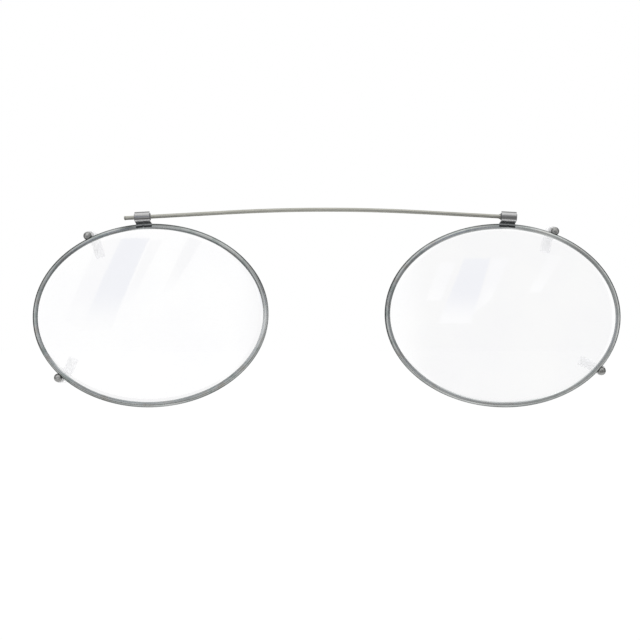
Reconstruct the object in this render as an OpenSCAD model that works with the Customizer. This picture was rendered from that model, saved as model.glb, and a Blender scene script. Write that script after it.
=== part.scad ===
// Clip-on glasses: two oval lenses in metal rims that hang from one bowed spring bar.
// Millimetres. The origin is the middle of the bar, on its centre line. +Z is up as worn,
// -Y is the front, and left and right are as seen from the front.

/* [Lenses and rims] */
// Width of the opening in each rim
eye_w = 44.8; // [38:0.2:54]
// Height of the opening in each rim
eye_h = 34.2; // [28:0.2:42]
// Distance between the two lens centres
centre_distance = 70.5; // [64:0.5:84]
// Height of the bar's middle above the lens centres
lens_drop = 21.17; // [20:0.01:28]
// How far the temple side of each lens hangs down, in degrees
lens_tilt = 1.9; // [0:0.1:5]
// Radius of the lens's middle surface
lens_radius = 130; // [90:5:250]
// Thickness of a lens
lens_t = 1.15; // [0.8:0.05:1.6]
// Width of a rim seen from the front
rim_w = 1.25; // [0.9:0.05:1.6]
// Depth of a rim from front to back
rim_d = 1.7; // [1.5:0.05:2.4]
// Depth of the groove that holds the lens
groove_d = 0.45; // [0.3:0.05:0.6]
// Room between the lens and each wall of its groove
lens_clear = 0.075; // [0.05:0.005:0.12]

/* [Bridge bar] */
// Diameter of the bar
bar_d = 0.8; // [0.6:0.05:1]
// Radius of the bow in the middle of the bar
bow_radius = 355; // [300:5:900]
// Half the width of the bowed stretch
bow_half = 19.5; // [16:0.5:31]
// Reach of the bar's free left end from the middle
left_reach = 40.5; // [38.6:0.1:46]
// Reach of the bar's right end from the middle
right_reach = 38.05; // [38.05:0.05:46]
// How much thinner than the bow the ground ends are, on the radius
end_cut = 0.01; // [0.01:0.005:0.03]
// Bevel on the ends of the bar
bar_bevel = 0.1; // [0.05:0.01:0.15]
// Diameter of the two stake marks that stop the right barrel
stake_d = 0.42; // [0.3:0.02:0.5]
// How far the stake marks stand out of the bar
stake_out = 0.12; // [0.06:0.01:0.18]

/* [Barrels and liners] */
// Distance of the left barrel from the middle
left_barrel_x = 36.85; // [36:0.05:37]
// Distance of the right barrel from the middle
right_barrel_x = 36.4; // [36:0.05:36.5]
// Length of a barrel
barrel_len = 3; // [2.4:0.1:3.1]
// Outer diameter of a barrel
barrel_d = 2.2; // [2:0.05:2.4]
// Wall of a barrel
barrel_wall = 0.35; // [0.2:0.05:0.4]
// How far a liner stands out of each end of its barrel
liner_out = 0.12; // [0.05:0.01:0.3]
// Room between the turning and sliding surfaces
running_clear = 0.05; // [0.03:0.005:0.08]
// Thickness of the barrel's neck at its waist
neck_t = 0.8; // [0.7:0.05:1.2]
// Height of the foot above the rim's top, at the neck
foot_rise = 0.28; // [0.2:0.02:0.4]
// How far the foot reaches down over the rim
foot_lap = 0.7; // [0.4:0.02:0.9]
// How much wider than the barrel the foot is, on its inner side
foot_flare = 0.35; // [0:0.05:0.8]
// How much shorter than the barrel the neck and foot are, on their outer side
foot_inset = 0.2; // [0:0.05:0.4]
// Thickness of the foot in front of and behind the rim
foot_wall = 0.2; // [0.12:0.02:0.3]
// Radius of the hollow that rounds the foot's top edge in front and behind
hollow_r = 0.42; // [0.3:0.02:0.44]
// Room between the foot and the rim it is brazed to
braze_gap = 0.02; // [0.01:0.005:0.05]
// Width of the notch in the foot's lower edge
notch_w = 0.5; // [0.2:0.05:0.8]

/* [Claws] */
// Diameter of a claw's wire
claw_d = 0.9; // [0.7:0.05:1.1]
// Diameter of the bead that brazes the wire to the rim
bead_d = 1.76; // [1.5:0.02:1.9]
// Outer diameter of a claw's soft sleeve
sleeve_d = 2; // [1.6:0.05:2.1]
// Room between a sleeve and its wire
sleeve_clear = 0.02; // [0.01:0.005:0.05]
// Bend radius of a claw's wire
claw_bend = 1.15; // [1.1:0.05:1.4]
// Clear gap between a rim's back and its claws, for the wearer's own rim
claw_gap = 3.3; // [2.6:0.1:4.5]
// Gap between the rim's back and the start of a sleeve
sleeve_start = 0.4; // [0.3:0.05:0.6]
// How far a wire's end stops short of its sleeve's end
wire_short = 0.5; // [0.2:0.1:1]

/* [Hidden] */
// Each claw: place round the rim, turn of its tip from square and sideways lean, in degrees, then
// the distance of its wire outside the rim's edge, and the reach of its tip from its wire
UPPER_LEFT = [59.6, 10, -9, 0.5, 4.7];
LOWER_LEFT = [-38, -18, 8, 0.58, 4.6];
UPPER_RIGHT = [65.5, 11, -8, 0.5, 4.3];
LOWER_RIGHT = [-32.8, 18, -4, 0.52, 4.3];
PLACE = 0;
TURN = 1;
LEAN = 2;
OUT = 3;
REACH = 4;
LEFT = -1;
RIGHT = 1;

rim_steps = 72;
arc_steps = 5;
fine = 96;
lens_fn = 256;
bow_fn = 1440;
// A cut runs this far past the faces that it opens
past = 1;
// A straight end of the bar starts this far inside the bow
end_overlap = 0.3;

bar_r = bar_d / 2;
bar_slope = asin(bow_half / bow_radius);
bow_drop = bow_radius * (1 - cos(bar_slope));
bar_end_r = bar_r - end_cut;
liner_bore_r = bar_end_r + running_clear;
barrel_r = barrel_d / 2;
barrel_bore_r = barrel_r - barrel_wall;
liner_r = barrel_bore_r - running_clear;
liner_len = barrel_len + 2 * liner_out;
groove_w = lens_t + 2 * lens_clear;
rim_round = rim_w / 2;
rim_half_d = rim_d / 2;
rim_flat = rim_half_d - rim_round;
lens_bite = groove_d - lens_clear;
vertex_y = -sphere_sag(eye_h / 2 + lens_bite / 2);
sleeve_r = sleeve_d / 2;
leg_back = rim_half_d + claw_gap + sleeve_r;
rim_top_radius = pow(eye_w / 2, 2) / (eye_h / 2) + rim_w;

metal = [0.62, 0.63, 0.62];
bar_metal = [0.62, 0.61, 0.57];
barrel_metal = [0.66, 0.66, 0.67];
liner_black = [0.16, 0.16, 0.17];
lens_clear_tint = [0.93, 0.95, 0.98, 0.3];
sleeve_clear_tint = [0.93, 0.93, 0.91, 0.6];

// How far the lens's middle surface falls back at this distance from the lens centre
function sphere_sag(d) = lens_radius - sqrt(pow(lens_radius, 2) - pow(d, 2));

// Outward direction of the oval at angle t, in the plane of the lens
function oval_normal(t) =
    let(n = [cos(t) / (eye_w / 2), sin(t) / (eye_h / 2)]) n / norm(n);

// The point at angle t that lies u outside the rim's opening
function oval_point(t, u) = [eye_w / 2 * cos(t), eye_h / 2 * sin(t)] + u * oval_normal(t);

// Middle of the rim's depth at angle t
function rim_y(t) = vertex_y + sphere_sag(norm(oval_point(t, lens_bite / 2)));

// Slope at which the rim falls back round angle t
function rim_slope(t) =
    atan((rim_y(t + 1) - rim_y(t - 1)) / norm(oval_point(t + 1, rim_w) - oval_point(t - 1, rim_w)));

// Height of the bar's centre line at this distance along the straight end
function bar_z(x) = -bow_drop - (x - bow_half) * tan(bar_slope);

// The rim's section: a round-edged strip, with the lens groove in its inner side
function rim_section() =
    let(start = 180 - asin((groove_w / 2 - rim_flat) / rim_round), step = start / arc_steps)
    concat(
        [for (i = [0:arc_steps]) let(a = start - i * step)
            [rim_round * (1 + cos(a)), -rim_flat - rim_round * sin(a)]],
        [for (i = [0:arc_steps]) let(a = i * step)
            [rim_round * (1 + cos(a)), rim_flat + rim_round * sin(a)]],
        [[groove_d, groove_w / 2], [groove_d, -groove_w / 2]]
    );

// Puts a lens unit, drawn with +X towards the temple, in its place on one side
module on_side(side) {
    mirror([side < 0 ? 1 : 0, 0, 0])
        translate([centre_distance / 2, 0, -lens_drop])
            rotate([0, lens_tilt, 0])
                children();
}

// Puts a shape that lies along +X on the bar's straight end, at distance x from the middle
module on_bar(side, x) {
    mirror([side < 0 ? 1 : 0, 0, 0])
        translate([x, 0, bar_z(x)])
            rotate([0, bar_slope, 0])
                children();
}

// A round rod along +X, centred
module rod(r, length) {
    rotate([0, 90, 0])
        cylinder(h = length, r = r, center = true, $fn = fine);
}

// A straight end of the bar, from the bow to this reach, ground thinner, with a bevelled tip
module bar_end(reach) {
    length = (reach - bow_half) / cos(bar_slope) - bar_bevel;
    translate([bow_half, 0, -bow_drop])
        rotate([0, 90 + bar_slope, 0]) {
            translate([0, 0, -end_overlap])
                cylinder(h = end_overlap + length, r = bar_end_r, $fn = fine);
            translate([0, 0, length])
                cylinder(h = bar_bevel, r1 = bar_end_r, r2 = bar_end_r - bar_bevel, $fn = fine);
        }
}

// The bowed bar of springy round wire, with the two stake marks beside the right barrel
module bridge_bar() {
    stake_x = right_barrel_x - (barrel_len / 2 + liner_out) * cos(bar_slope) - stake_d / 2;
    color(bar_metal) {
        translate([0, 0, -bow_radius])
            rotate([90, 0, 0])
                rotate([0, 0, 90 - bar_slope])
                    rotate_extrude(angle = 2 * bar_slope, $fn = bow_fn)
                        translate([bow_radius, 0])
                            circle(r = bar_r, $fn = fine);
        mirror([1, 0, 0])
            bar_end(left_reach);
        bar_end(right_reach);
        for (up = [-1, 1])
            on_bar(RIGHT, stake_x)
                translate([0, 0, up * (bar_end_r + stake_out - stake_d / 2)])
                    sphere(d = stake_d, $fn = 48);
    }
}

// The friction liner between the bar and a barrel
module liner(side, x) {
    color(liner_black)
        on_bar(side, x)
            difference() {
                rod(liner_r, liner_len);
                rod(liner_bore_r, liner_len + 2 * past);
            }
}

// The neck and foot of a barrel, drawn about the barrel's axis down to the rim
module saddle(top_to_rim) {
    foot_half = rim_half_d + foot_wall;
    foot_bottom = -top_to_rim - foot_lap;
    flare_top = foot_rise - top_to_rim;
    half = barrel_len / 2;
    intersection() {
        union() {
            translate([-half - foot_flare, -neck_t / 2, foot_bottom])
                cube([barrel_len + foot_flare, neck_t, -foot_bottom]);
            difference() {
                translate([-half - foot_flare, -foot_half, foot_bottom])
                    cube([barrel_len + foot_flare, 2 * foot_half, flare_top - foot_bottom]);
                for (front = [-1, 1])
                    translate([0, front * foot_half, flare_top])
                        rod(hollow_r, 2 * (barrel_len + foot_flare));
            }
        }
        rotate([90, 0, 0])
            linear_extrude(height = barrel_d + past, center = true)
                polygon([
                    [-half, 0], [half - foot_inset, 0], [half - foot_inset, foot_bottom],
                    [notch_w / 2 - foot_flare / 2, foot_bottom],
                    [-foot_flare / 2, foot_bottom + notch_w / 2],
                    [-notch_w / 2 - foot_flare / 2, foot_bottom],
                    [-half - foot_flare, foot_bottom], [-half - foot_flare, -top_to_rim],
                    [-half, flare_top]
                ]);
    }
}

// The stretch of rim that the foot lies on, grown by the braze gap
module rim_seat() {
    on_rim_top()
        rotate([90, 0, 0])
            rotate_extrude(angle = 180, $fn = 720)
                translate([rim_top_radius - rim_round, 0]) {
                    for (front = [-1, 1])
                        translate([0, front * rim_flat])
                            circle(r = rim_round + braze_gap, $fn = fine);
                    square([rim_w + 2 * braze_gap, 2 * rim_flat], center = true);
                }
}

// Puts a shape at the centre of the rim's top curve, as it lies in the lens unit
module on_rim_top() {
    translate([centre_distance / 2, 0, -lens_drop])
        rotate([0, lens_tilt, 0])
            translate([0, 0, eye_h / 2 + rim_w - rim_top_radius])
                children();
}

// A barrel: a tube round the liner, with a waisted neck and a foot brazed over the rim
module barrel(side, x) {
    offset_x = x - centre_distance / 2;
    rim_top = eye_h / 2 + rim_w - offset_x * sin(lens_tilt)
        - (rim_top_radius - sqrt(pow(rim_top_radius, 2) - pow(offset_x, 2)));
    color(barrel_metal)
        difference() {
            on_bar(side, x) {
                rod(barrel_r, barrel_len);
                saddle(bar_z(x) + lens_drop - rim_top);
            }
            on_bar(side, x)
                rod(barrel_bore_r, barrel_len + 2 * past);
            mirror([side < 0 ? 1 : 0, 0, 0])
                rim_seat();
        }
}

// A rim: the grooved strip swept round the oval, following the curve of the lens
module eyewire(side) {
    section = rim_section();
    n = len(section);
    points = [
        for (i = [0:rim_steps - 1]) let(t = 360 * i / rim_steps)
            for (s = section) let(p = oval_point(t, s[0]))
                [p[0], rim_y(t) + s[1], p[1]]
    ];
    faces = [
        for (i = [0:rim_steps - 1]) for (k = [0:n - 1])
            let(
                a = i * n + k,
                b = i * n + (k + 1) % n,
                c = ((i + 1) % rim_steps) * n + (k + 1) % n,
                d = ((i + 1) % rim_steps) * n + k
            )
            each [[a, c, b], [a, d, c]]
    ];
    color(metal)
        on_side(side)
            polyhedron(points = points, faces = faces, convexity = 6);
}

// A clear lens: a curved shell cut to the oval, its edge in the rim's groove
module lens(side) {
    outline = [for (i = [0:rim_steps - 1]) oval_point(360 * i / rim_steps, lens_bite)];
    color(lens_clear_tint)
        on_side(side)
            intersection() {
                rotate([90, 0, 0])
                    linear_extrude(height = 2 * eye_h, center = true)
                        polygon(outline);
                translate([0, vertex_y + lens_radius, 0])
                    difference() {
                        sphere(r = lens_radius + lens_t / 2, $fn = lens_fn);
                        sphere(r = lens_radius - lens_t / 2, $fn = lens_fn);
                    }
            }
}

// Puts a claw, drawn with its wire's post along +Y and its leg along +X, on its rim
module on_claw(side, claw) {
    at = oval_point(claw[PLACE], rim_w + claw[OUT]);
    n = oval_normal(claw[PLACE]);
    inward = atan2(-n[1], -n[0]) + claw[TURN];
    on_side(side)
        translate([at[0], rim_y(claw[PLACE]), at[1]])
            rotate([0, -inward, 0])
                children();
}

// Leans a claw's wire or sleeve sideways, about its bead
module leaning(claw) {
    rotate([claw[LEAN], 0, 0])
        children();
}

// A rod that runs back from y = start, bends once and runs inwards to x = reach
module hook(r, start, reach) {
    translate([0, start, 0])
        rotate([-90, 0, 0])
            cylinder(h = leg_back - claw_bend - start, r = r, $fn = fine);
    translate([claw_bend, leg_back - claw_bend, 0])
        rotate([0, 0, 90])
            rotate_extrude(angle = 90, $fn = fine)
                translate([claw_bend, 0])
                    circle(r = r, $fn = fine);
    translate([claw_bend, leg_back, 0])
        rotate([0, 90, 0])
            cylinder(h = reach - claw_bend, r = r, $fn = fine);
}

// The stretch of rim beside a claw, grown by the braze gap
module claw_seat(claw) {
    rotate([0, claw[TURN], 0])
        translate([claw[OUT] + rim_round, 0, 0])
            rotate([rim_slope(claw[PLACE]), 0, 0]) {
                for (front = [-1, 1])
                    translate([0, front * rim_flat, 0])
                        cylinder(h = 2 * bead_d, r = rim_round + braze_gap, center = true, $fn = fine);
                cube([rim_w + 2 * braze_gap, 2 * rim_flat, 2 * bead_d], center = true);
            }
}

// A claw's wire, with the bead that brazes it to the outside of the rim
module claw_wire(side, claw) {
    color(metal)
        on_claw(side, claw)
            difference() {
                union() {
                    // Turned so that the sphere's seam faces away from the rim
                    rotate([0, 180, 0])
                        sphere(d = bead_d, $fn = fine);
                    leaning(claw)
                        hook(claw_d / 2, 0, claw[REACH] - wire_short);
                }
                claw_seat(claw);
            }
}

// A claw's soft clear sleeve, from behind the rim to past the end of the wire
module claw_sleeve(side, claw) {
    start = rim_half_d + sleeve_start;
    color(sleeve_clear_tint)
        on_claw(side, claw)
            leaning(claw)
                difference() {
                    hook(sleeve_r, start, claw[REACH]);
                    hook(claw_d / 2 + sleeve_clear, start - past, claw[REACH] - wire_short + sleeve_clear);
                }
}

bridge_bar();
liner(LEFT, left_barrel_x);  // left_liner
liner(RIGHT, right_barrel_x);  // right_liner
barrel(LEFT, left_barrel_x);  // left_barrel
barrel(RIGHT, right_barrel_x);  // right_barrel
eyewire(LEFT);  // left_eyewire
eyewire(RIGHT);  // right_eyewire
lens(LEFT);  // left_lens
lens(RIGHT);  // right_lens
claw_wire(LEFT, UPPER_LEFT);  // upper_left_claw_wire
claw_wire(LEFT, LOWER_LEFT);  // lower_left_claw_wire
claw_wire(RIGHT, UPPER_RIGHT);  // upper_right_claw_wire
claw_wire(RIGHT, LOWER_RIGHT);  // lower_right_claw_wire
claw_sleeve(LEFT, UPPER_LEFT);  // upper_left_claw_sleeve
claw_sleeve(LEFT, LOWER_LEFT);  // lower_left_claw_sleeve
claw_sleeve(RIGHT, UPPER_RIGHT);  // upper_right_claw_sleeve
claw_sleeve(RIGHT, LOWER_RIGHT);  // lower_right_claw_sleeve
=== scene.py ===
# %% [markdown]
# # Clip-on glasses, dressed for a product photograph
# The imported model gives every piece at its real size. This lesson puts smooth, finished pieces
# over its solids: drawn and plated metal, optical plastic and soft tube. The first step loads the
# model and bakes each solid's place into its mesh.

# %% Load the imported model
import math

import bmesh
import bpy
from mathutils import Matrix, Vector, noise


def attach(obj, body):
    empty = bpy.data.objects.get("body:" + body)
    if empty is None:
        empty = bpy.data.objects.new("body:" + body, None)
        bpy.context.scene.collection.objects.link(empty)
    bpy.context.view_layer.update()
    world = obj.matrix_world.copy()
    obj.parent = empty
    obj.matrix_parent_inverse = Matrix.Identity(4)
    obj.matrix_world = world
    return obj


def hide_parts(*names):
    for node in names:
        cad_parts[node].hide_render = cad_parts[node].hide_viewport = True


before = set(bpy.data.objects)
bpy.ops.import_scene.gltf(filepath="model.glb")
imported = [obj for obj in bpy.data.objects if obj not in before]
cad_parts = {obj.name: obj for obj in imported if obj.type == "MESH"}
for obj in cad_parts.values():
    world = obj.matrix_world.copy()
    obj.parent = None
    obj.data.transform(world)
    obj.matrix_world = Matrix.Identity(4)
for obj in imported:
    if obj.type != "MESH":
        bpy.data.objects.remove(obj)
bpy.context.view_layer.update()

# %% [markdown]
# ## The few sizes that everything follows
# The rims' openings are ovals of 44.8 by 34.2 mm, and the lenses in them are curved to a radius of
# 130 mm, as a lens blank is ground. The rims, claws and barrels are placed from the same sizes, so
# each is written once, in millimetres. The pieces are modelled in millimetres too, and shrunk to
# metres when they are finished.

# %% Sizes in millimetres
MM = 0.001
LEFT = -1
RIGHT = 1
SIDES = {"left": LEFT, "right": RIGHT}
UNITS = {LEFT: "left_lens_unit", RIGHT: "right_lens_unit"}

EYE_W = 44.8
EYE_H = 34.2
CENTRE_DISTANCE = 70.5
LENS_DROP = 21.17
LENS_TILT = math.radians(1.9)
LENS_RADIUS = 130.0
LENS_T = 1.15
RIM_W = 1.25
RIM_D = 1.7
GROOVE_D = 0.45
LENS_CLEAR = 0.075
BRAZE_GAP = 0.02

BAR_R = 0.4
BAR_END_R = 0.39
BOW_RADIUS = 355.0
BOW_HALF = 19.5
BOW_SLOPE = math.asin(BOW_HALF / BOW_RADIUS)
BOW_DROP = BOW_RADIUS * (1 - math.cos(BOW_SLOPE))
print("the bow falls", round(BOW_DROP, 2), "mm, to", round(math.degrees(BOW_SLOPE), 2), "degrees")

# %% [markdown]
# ## Where a rim runs
# A rim is one strip bent round the oval. A point on it has an angle round the oval and a distance
# outside the lens opening, square to the oval's edge. The strip also follows the lens's curve, so
# it lies further back at the temples than at the top. Four short functions say all of this.

# %% The oval and the lens's curve
LENS_BITE = GROOVE_D - LENS_CLEAR


def fall_back(distance):
    """How far a sphere of the lens's radius falls back at this distance from its middle."""
    return LENS_RADIUS - math.sqrt(LENS_RADIUS**2 - distance**2)


def oval_normal(angle):
    """Outward direction of the oval's edge at an angle."""
    return Vector((math.cos(angle) / EYE_W, math.sin(angle) / EYE_H)).normalized()


def oval_point(angle, outside):
    """The point at this angle, this far outside the lens opening."""
    edge = Vector((EYE_W / 2 * math.cos(angle), EYE_H / 2 * math.sin(angle)))
    return edge + outside * oval_normal(angle)


LENS_FRONT = -fall_back(EYE_H / 2 + LENS_BITE / 2)


def rim_back(angle):
    """Middle of the rim's depth at an angle."""
    return LENS_FRONT + fall_back(oval_point(angle, LENS_BITE / 2).length)


print("rim runs back by", round(rim_back(0) - rim_back(math.pi / 2), 2), "mm from top to temple")

# %% [markdown]
# ## Where the pieces stand
# A lens unit is drawn once, about its lens centre, with +X towards the temple. What lies on the bar
# is drawn along +X. Two matrices put both in place, and mirror them for the left side.

# %% Places on either side
def unit_matrix(side):
    """Puts a lens unit, drawn about its lens centre, in its place on one side."""
    place = Matrix.Translation((CENTRE_DISTANCE / 2, 0, -LENS_DROP))
    turned = place @ Matrix.Rotation(LENS_TILT, 4, "Y")
    return Matrix.Diagonal((side, 1, 1, 1)) @ turned


def bar_height(x):
    """Height of the bar's centre line at this distance along its straight end."""
    return -BOW_DROP - (x - BOW_HALF) * math.tan(BOW_SLOPE)


def bar_matrix(side, x):
    """Puts a shape that lies along +X on the bar's straight end."""
    place = Matrix.Translation((x, 0, bar_height(x)))
    turned = place @ Matrix.Rotation(BOW_SLOPE, 4, "Y")
    return Matrix.Diagonal((side, 1, 1, 1)) @ turned


print("right lens centre", [round(c, 2) for c in unit_matrix(RIGHT).translation], "mm")

# %% [markdown]
# ## Finishing a piece
# Each piece is modelled in a bmesh. The left side's mirroring turns faces inside out, so the
# normals are worked out again after doubles are merged. Sharp edges are marked by their angle, so
# that turned and drawn surfaces shade smoothly while cut ends stay crisp. The finishes are kept by
# the names of the record's material slots, and the next steps fill them in.

# %% Turn a bmesh into a piece of the part
SHARP_ANGLE = math.radians(35)
# How near points are, in millimetres, when they are merged or count as touching
DOUBLES = 1e-4
TOUCHING = 1e-4
FINISHES = {}


def to_mesh(bm, name):
    """Turns a bmesh into a mesh and frees it."""
    mesh = bpy.data.meshes.new(name)
    bm.to_mesh(mesh)
    bm.free()
    return mesh


def add_object(name, data):
    """Puts a mesh, lamp or camera into the scene as an object."""
    made = bpy.data.objects.new(name, data)
    bpy.context.scene.collection.objects.link(made)
    return made


def finish_piece(name, bm, matrix, body, nodes, slot):
    """Makes the bmesh an object in metres that rides on a body and stands for its CAD nodes."""
    bmesh.ops.transform(bm, matrix=Matrix.Scale(MM, 4) @ matrix, verts=bm.verts)
    bmesh.ops.remove_doubles(bm, verts=bm.verts, dist=DOUBLES * MM)
    bmesh.ops.recalc_face_normals(bm, faces=bm.faces)
    mesh = to_mesh(bm, name)
    mesh.shade_smooth()
    mesh.set_sharp_from_angle(angle=SHARP_ANGLE)
    mesh.materials.append(FINISHES[slot])
    piece = add_object(name, mesh)
    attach(piece, body)
    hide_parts(*nodes)
    print(name, len(mesh.polygons), "faces")
    return piece


print("edges of more than", round(math.degrees(SHARP_ANGLE)), "degrees stay crisp")

# %% [markdown]
# ## Colours and material nodes
# Colours are written as they look on a screen, in hex, and one function turns them to the linear
# values that the renderer works in. A second function adds a node with its settings and links. It
# finds a socket by Blender's own identifier, such as Base_Color, so that it also tells the two
# values of a sum apart. A third gives the pattern that most of the materials share: noise with
# grains of a size in millimetres.

# %% Colours
def linear(hex_colour):
    """A hex colour such as 8c8f8a as linear red, green, blue and alpha."""
    parts = [int(hex_colour[i : i + 2], 16) / 255 for i in (0, 2, 4)]
    light = [c / 12.92 if c <= 0.04045 else ((c + 0.055) / 1.055) ** 2.4 for c in parts]
    return (*light, 1.0)


def set_stops(ramp, stops):
    """Gives a smooth colour ramp its (position, hex colour) stops."""
    ramp.interpolation = "EASE"
    while len(ramp.elements) < len(stops):
        ramp.elements.new(0.5)
    for element, (position, colour) in zip(ramp.elements, stops):
        element.position = position
        element.color = linear(colour)


print("the screen grey 808080 is", round(linear("808080")[0], 3), "in linear light")

# %% Nodes and grain
NOISE_ROUGHNESS = 0.55


def add_node(tree, kind, **given):
    """Adds a node. A name is a socket, with _ for a space, or else a property or a ramp's stops.
    A socket takes a number, a hex colour, an output or a node, whose first live output it takes.
    """
    made = tree.nodes.new(kind)
    sockets = {s.identifier.replace(" ", "_"): s for s in made.inputs}
    for name, value in given.items():
        if isinstance(value, bpy.types.Node):
            value = next(s for s in value.outputs if s.enabled)
        if name == "stops":
            set_stops(made.color_ramp, value)
        elif name not in sockets:
            setattr(made, name, value)
        elif isinstance(value, bpy.types.NodeSocket):
            tree.links.new(value, sockets[name])
        else:
            sockets[name].default_value = linear(value) if isinstance(value, str) else value
    return made


def grain(tree, size_mm, stretch=(1, 1, 1), detail=3.0):
    """Noise whose grain is about size_mm, drawn out along an axis by a stretch above 1."""
    place = add_node(tree, "ShaderNodeTexCoord").outputs["Object"]
    place = add_node(tree, "ShaderNodeMapping", Vector=place, Scale=[1 / s for s in stretch])
    settings = {"Scale": 1 / (size_mm * MM), "Detail": detail, "Roughness": NOISE_ROUGHNESS}
    return add_node(tree, "ShaderNodeTexNoise", Vector=place, **settings)


def blank_tree(owner):
    """The emptied node tree of a material or a world."""
    owner.use_nodes = True
    owner.node_tree.nodes.clear()
    return owner.node_tree


def keep_finish(slot, name, build, depth_mm, **sockets):
    """Makes the material for the pieces of one slot. Its builder is given the tree, and returns
    the colour, the roughness and the height of a bump that is depth_mm deep."""
    material = bpy.data.materials.new(name)
    tree = blank_tree(material)
    colour, roughness, height = build(tree)
    bump = add_node(tree, "ShaderNodeBump", Strength=1.0, Distance=depth_mm * MM, Height=height)
    sockets |= {"Base_Color": colour, "Roughness": roughness, "Normal": bump}
    shader = add_node(tree, "ShaderNodeBsdfPrincipled", **sockets)
    add_node(tree, "ShaderNodeOutputMaterial", Surface=shader)
    FINISHES[slot] = material
    print(slot, "is", name, "with", len(tree.nodes), "nodes")


print("noise with grains of 1 mm has a scale of", round(1 / MM))

# %% [markdown]
# ## Antique pewter plate, for the rims
# The rims are nickel alloy wire, plated, dipped in a dark oxide and then buffed. The piece carries
# an attribute that runs from 0 at its inner edge to 1 at its outer edge, and a ramp on it paints a
# light crown and dark edges: partly the oxide left along both edges, partly a painted highlight on
# the crown and painted shade where the strip rounds away. Slow noise over a few millimetres gives
# the mottled green-grey tone, and an attribute that runs along the strip draws the lines which the
# drawing die left. Two more attributes, light and dark, say where stretches of the rim are painted
# lighter or darker, as painted highlights and painted shade, and where the outer edge is darker
# beside each barrel. They could be painted by hand, but worked out from places round the rim they
# stay in place when the rim's size changes.

# %% Rim metal
def antique_pewter(tree):
    carried = {
        name: add_node(tree, "ShaderNodeAttribute", attribute_name=name).outputs
        for name in ("across", "winding", "light", "dark")
    }
    # The painted highlight along the crown, and the oxide and painted shade at both edges, which
    # wander a little
    slow = grain(tree, 7.0, detail=1.0)
    wander = add_node(tree, "ShaderNodeMapRange", Value=slow, To_Min=-0.12, To_Max=0.12)
    across = carried["across"]["Fac"]
    shifted = add_node(tree, "ShaderNodeMath", operation="ADD", Value=across, Value_001=wander)
    stops = [(0.0, "676b6b"), (0.25, "919596"), (0.5, "b0b3b3"), (0.72, "babdbc"), (0.95, "6b6f70")]
    tone = add_node(tree, "ShaderNodeValToRGB", Fac=shifted, stops=stops)
    # The mottled tint, and the lines of the drawing die
    stops = [(0.34, "dbe2de"), (0.5, "fbfbfa"), (0.66, "eee8e2")]
    tint = add_node(tree, "ShaderNodeValToRGB", Fac=grain(tree, 2.5), stops=stops)
    winding = carried["winding"]["Vector"]
    drawn = add_node(tree, "ShaderNodeTexNoise", Vector=winding, Scale=1.0, Detail=2.0)
    stops = [(0.36, "d4d4d4"), (0.48, "fafafa"), (0.6, "ffffff")]
    lines = add_node(tree, "ShaderNodeValToRGB", Fac=drawn, stops=stops)
    # The tint and the die's lines multiply the tone. Then the painted highlights and painted shade
    # of stretches round the rim, and the darkening beside each barrel, are mixed over it
    for share, shade, blend in (
        (0.9, tint, "MULTIPLY"),
        (1.0, lines, "MULTIPLY"),
        (carried["light"]["Fac"], "f4f6f5", "MIX"),
        (carried["dark"]["Fac"], "4a4e4d", "MIX"),
    ):
        mix = {"data_type": "RGBA", "blend_type": blend, "Factor_Float": share}
        tone = add_node(tree, "ShaderNodeMix", A_Color=tone, B_Color=shade, **mix)
    rough = add_node(tree, "ShaderNodeMapRange", Value=grain(tree, 0.3), To_Min=0.22, To_Max=0.32)
    return tone, rough, grain(tree, 0.12)


keep_finish("rim_metal", "antique_pewter_plate", antique_pewter, 0.002, Metallic=1.0)

# %% [markdown]
# ## Springy alloy wire, for the bar
# Nickel-titanium wire is drawn through a die and left unpolished, so it is a warm, quite matt
# grey with faint lines along its length. Noise that is stretched forty times along the bar draws
# those lines. They are coarser here than the real ones, so that they show at this size.

# %% Bar metal
def drawn_alloy_wire(tree):
    lines = grain(tree, 0.1, stretch=(40, 1, 1))
    stops = [(0.3, "a0a098"), (0.7, "aeada5")]
    tone = add_node(tree, "ShaderNodeValToRGB", Fac=lines, stops=stops)
    rough = add_node(tree, "ShaderNodeMapRange", Value=grain(tree, 1.5), To_Min=0.36, To_Max=0.5)
    return tone, rough, lines


keep_finish("bar_metal", "drawn_nickel_titanium_wire", drawn_alloy_wire, 0.002, Metallic=1.0)
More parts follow.
